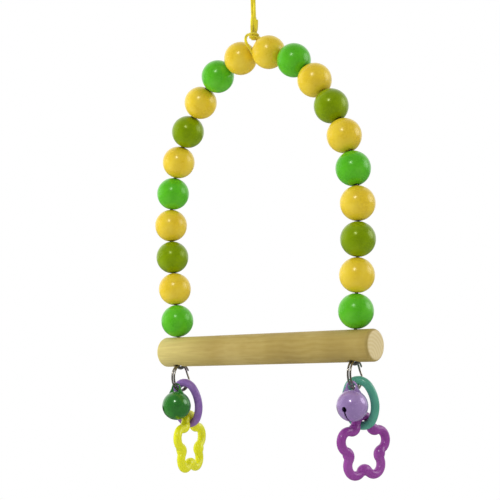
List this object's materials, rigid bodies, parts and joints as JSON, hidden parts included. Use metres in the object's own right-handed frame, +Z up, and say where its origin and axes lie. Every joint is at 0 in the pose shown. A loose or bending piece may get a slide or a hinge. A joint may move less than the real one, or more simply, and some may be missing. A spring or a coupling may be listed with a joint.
{
  "type": "bird swing",
  "caption": "Swing for a small cage bird: beaded wire arch on a knotted cord, wooden perch, and a jingle bell with a chain of plastic links under each end.",
  "frame": {"origin": "where a hook holds the cord, inside the cord loop above the swing", "axes": "+Z up along the cord, +X along the perch, towards its end with the lilac bell, +Y to the back as pictured"},
  "size_m": [0.1588, 0.0402, 0.3098],
  "materials": {
    "cord": "braided, matt",
    "wire": "drawn wire, bright",
    "perch_wood": "bare, sanded",
    "bead_yellow": "dyed, lacquered satin",
    "bead_bright_green": "dyed, lacquered satin",
    "bead_olive": "dyed, lacquered satin",
    "ring_steel": "nickel plated, bright",
    "bell_green": "metallic gloss",
    "bell_lilac": "metallic gloss",
    "pellet_steel": "plain",
    "plastic_violet": "smooth moulded gloss",
    "plastic_teal": "smooth moulded gloss",
    "plastic_lemon": "smooth moulded gloss",
    "plastic_purple": "smooth moulded gloss"
  },
  "bodies": {
    "hook_cord": {"hanger_cord": "cord"},
    "knot": {"hanger_knot": "cord", "wire_loop": "cord"},
    "arch": {"wire_arch": "wire", "perch": "perch_wood"},
    "ring_left": {"split_ring_left": "ring_steel"},
    "bell_left": {"bell_top_left": "bell_green", "bell_bottom_left": "bell_green"},
    "pellet_left": {"bell_pellet_left": "pellet_steel"},
    "oval_left": {"oval_link_left": "plastic_violet"},
    "star_left": {"star_link_left": "plastic_lemon"},
    "ring_right": {"split_ring_right": "ring_steel"},
    "bell_right": {"bell_top_right": "bell_lilac", "bell_bottom_right": "bell_lilac"},
    "pellet_right": {"bell_pellet_right": "pellet_steel"},
    "oval_right": {"oval_link_right": "plastic_teal"},
    "star_right": {"star_link_right": "plastic_purple"},
    "bead_left_1_body": {"bead_left_1": "bead_yellow"},
    "bead_left_2_body": {"bead_left_2": "bead_bright_green"},
    "bead_left_3_body": {"bead_left_3": "bead_yellow"},
    "bead_left_4_body": {"bead_left_4": "bead_olive"},
    "bead_left_5_body": {"bead_left_5": "bead_yellow"},
    "bead_left_6_body": {"bead_left_6": "bead_bright_green"},
    "bead_left_7_body": {"bead_left_7": "bead_yellow"},
    "bead_left_8_body": {"bead_left_8": "bead_olive"},
    "bead_left_9_body": {"bead_left_9": "bead_yellow"},
    "bead_left_10_body": {"bead_left_10": "bead_bright_green"},
    "bead_right_1_body": {"bead_right_1": "bead_yellow"},
    "bead_right_2_body": {"bead_right_2": "bead_bright_green"},
    "bead_right_3_body": {"bead_right_3": "bead_yellow"},
    "bead_right_4_body": {"bead_right_4": "bead_olive"},
    "bead_right_5_body": {"bead_right_5": "bead_yellow"},
    "bead_right_6_body": {"bead_right_6": "bead_bright_green"},
    "bead_right_7_body": {"bead_right_7": "bead_yellow"},
    "bead_right_8_body": {"bead_right_8": "bead_olive"},
    "bead_right_9_body": {"bead_right_9": "bead_yellow"},
    "bead_right_10_body": {"bead_right_10": "bead_bright_green"}
  },
  "joints": [
    {"name": "side_tilt", "type": "hinge", "parent": "hook_cord", "child": "knot", "pos_m": [0, 0, -0.0418], "axis": [0, 1, 0], "range_deg": [-15, 15]},
    {"name": "fore_aft_swing", "type": "hinge", "parent": "knot", "child": "arch", "pos_m": [0, 0, -0.06], "axis": [1, 0, 0], "range_deg": [-35, 35]},
    {"name": "ring_swing_left", "type": "hinge", "parent": "arch", "child": "ring_left", "pos_m": [-0.06408, 0, -0.24349], "axis": [-0.1045, 0.9945, 0], "range_deg": [-25, 25]},
    {"name": "bell_swing_left", "type": "hinge", "parent": "ring_left", "child": "bell_left", "pos_m": [-0.06354, -0.00508, -0.25753], "axis": [-0.9945, -0.1045, 0], "range_deg": [0, 30]},
    {"name": "oval_swing_left", "type": "hinge", "parent": "ring_left", "child": "oval_left", "pos_m": [-0.06442, 0.00324, -0.25469], "axis": [0.9945, 0.1045, 0], "range_deg": [0, 30]},
    {"name": "star_swing_left", "type": "hinge", "parent": "oval_left", "child": "star_left", "pos_m": [-0.06493, 0.00812, -0.27971], "axis": [0.9659, 0.2588, 0], "range_deg": [-13, 20]},
    {"name": "pellet_roll_left", "type": "hinge", "parent": "bell_left", "child": "pellet_left", "pos_m": [-0.06354, -0.00508, -0.26827], "axis": [-0.866, 0.5, 0], "range_deg": [-60, 60]},
    {"name": "ring_swing_right", "type": "hinge", "parent": "arch", "child": "ring_right", "pos_m": [0.06408, 0, -0.24349], "axis": [-0.1564, 0.9877, 0], "range_deg": [-25, 25]},
    {"name": "bell_swing_right", "type": "hinge", "parent": "ring_right", "child": "bell_right", "pos_m": [0.06488, -0.00505, -0.25753], "axis": [-0.9877, -0.1564, 0], "range_deg": [0, 30]},
    {"name": "oval_swing_right", "type": "hinge", "parent": "ring_right", "child": "oval_right", "pos_m": [0.06357, 0.00321, -0.25469], "axis": [0.9877, 0.1564, 0], "range_deg": [0, 30]},
    {"name": "star_swing_right", "type": "hinge", "parent": "oval_right", "child": "star_right", "pos_m": [0.0628, 0.00806, -0.27971], "axis": [0.9848, -0.1736, 0], "range_deg": [-13, 20]},
    {"name": "pellet_roll_right", "type": "hinge", "parent": "bell_right", "child": "pellet_right", "pos_m": [0.06488, -0.00505, -0.26827], "axis": [-0.9994, -0.0349, 0], "range_deg": [-60, 60]},
    {"name": "spin_bead_left_1", "type": "hinge", "parent": "arch", "child": "bead_left_1_body", "pos_m": [-0.01066, 0, -0.06164], "axis": [-0.9767, 0, -0.2145], "continuous": true},
    {"name": "spin_bead_left_2", "type": "hinge", "parent": "arch", "child": "bead_left_2_body", "pos_m": [-0.02881, 0, -0.06968], "axis": [-0.815, 0, -0.5795], "continuous": true},
    {"name": "spin_bead_left_3", "type": "hinge", "parent": "arch", "child": "bead_left_3_body", "pos_m": [-0.04303, 0, -0.08374], "axis": [-0.6137, 0, -0.7895], "continuous": true},
    {"name": "spin_bead_left_4", "type": "hinge", "parent": "arch", "child": "bead_left_4_body", "pos_m": [-0.05394, 0, -0.10032], "axis": [-0.4825, 0, -0.8759], "continuous": true},
    {"name": "spin_bead_left_5", "type": "hinge", "parent": "arch", "child": "bead_left_5_body", "pos_m": [-0.06212, 0, -0.11841], "axis": [-0.3395, 0, -0.9406], "continuous": true},
    {"name": "spin_bead_left_6", "type": "hinge", "parent": "arch", "child": "bead_left_6_body", "pos_m": [-0.06738, 0, -0.13755], "axis": [-0.188, 0, -0.9822], "continuous": true},
    {"name": "spin_bead_left_7", "type": "hinge", "parent": "arch", "child": "bead_left_7_body", "pos_m": [-0.06957, 0, -0.15728], "axis": [-0.032, 0, -0.9995], "continuous": true},
    {"name": "spin_bead_left_8", "type": "hinge", "parent": "arch", "child": "bead_left_8_body", "pos_m": [-0.06899, 0, -0.17715], "axis": [0.075, 0, -0.9972], "continuous": true},
    {"name": "spin_bead_left_9", "type": "hinge", "parent": "arch", "child": "bead_left_9_body", "pos_m": [-0.0675, 0, -0.19694], "axis": [0.075, 0, -0.9972], "continuous": true},
    {"name": "spin_bead_left_10", "type": "hinge", "parent": "arch", "child": "bead_left_10_body", "pos_m": [-0.06602, 0, -0.21674], "axis": [0.075, 0, -0.9972], "continuous": true},
    {"name": "spin_bead_right_1", "type": "hinge", "parent": "arch", "child": "bead_right_1_body", "pos_m": [0.01066, 0, -0.06164], "axis": [0.9767, 0, -0.2145], "continuous": true},
    {"name": "spin_bead_right_2", "type": "hinge", "parent": "arch", "child": "bead_right_2_body", "pos_m": [0.02881, 0, -0.06968], "axis": [0.815, 0, -0.5795], "continuous": true},
    {"name": "spin_bead_right_3", "type": "hinge", "parent": "arch", "child": "bead_right_3_body", "pos_m": [0.04303, 0, -0.08374], "axis": [0.6137, 0, -0.7895], "continuous": true},
    {"name": "spin_bead_right_4", "type": "hinge", "parent": "arch", "child": "bead_right_4_body", "pos_m": [0.05394, 0, -0.10032], "axis": [0.4825, 0, -0.8759], "continuous": true},
    {"name": "spin_bead_right_5", "type": "hinge", "parent": "arch", "child": "bead_right_5_body", "pos_m": [0.06212, 0, -0.11841], "axis": [0.3395, 0, -0.9406], "continuous": true},
    {"name": "spin_bead_right_6", "type": "hinge", "parent": "arch", "child": "bead_right_6_body", "pos_m": [0.06738, 0, -0.13755], "axis": [0.188, 0, -0.9822], "continuous": true},
    {"name": "spin_bead_right_7", "type": "hinge", "parent": "arch", "child": "bead_right_7_body", "pos_m": [0.06957, 0, -0.15728], "axis": [0.032, 0, -0.9995], "continuous": true},
    {"name": "spin_bead_right_8", "type": "hinge", "parent": "arch", "child": "bead_right_8_body", "pos_m": [0.06899, 0, -0.17715], "axis": [-0.075, 0, -0.9972], "continuous": true},
    {"name": "spin_bead_right_9", "type": "hinge", "parent": "arch", "child": "bead_right_9_body", "pos_m": [0.0675, 0, -0.19694], "axis": [-0.075, 0, -0.9972], "continuous": true},
    {"name": "spin_bead_right_10", "type": "hinge", "parent": "arch", "child": "bead_right_10_body", "pos_m": [0.06602, 0, -0.21674], "axis": [-0.075, 0, -0.9972], "continuous": true}
  ]
}
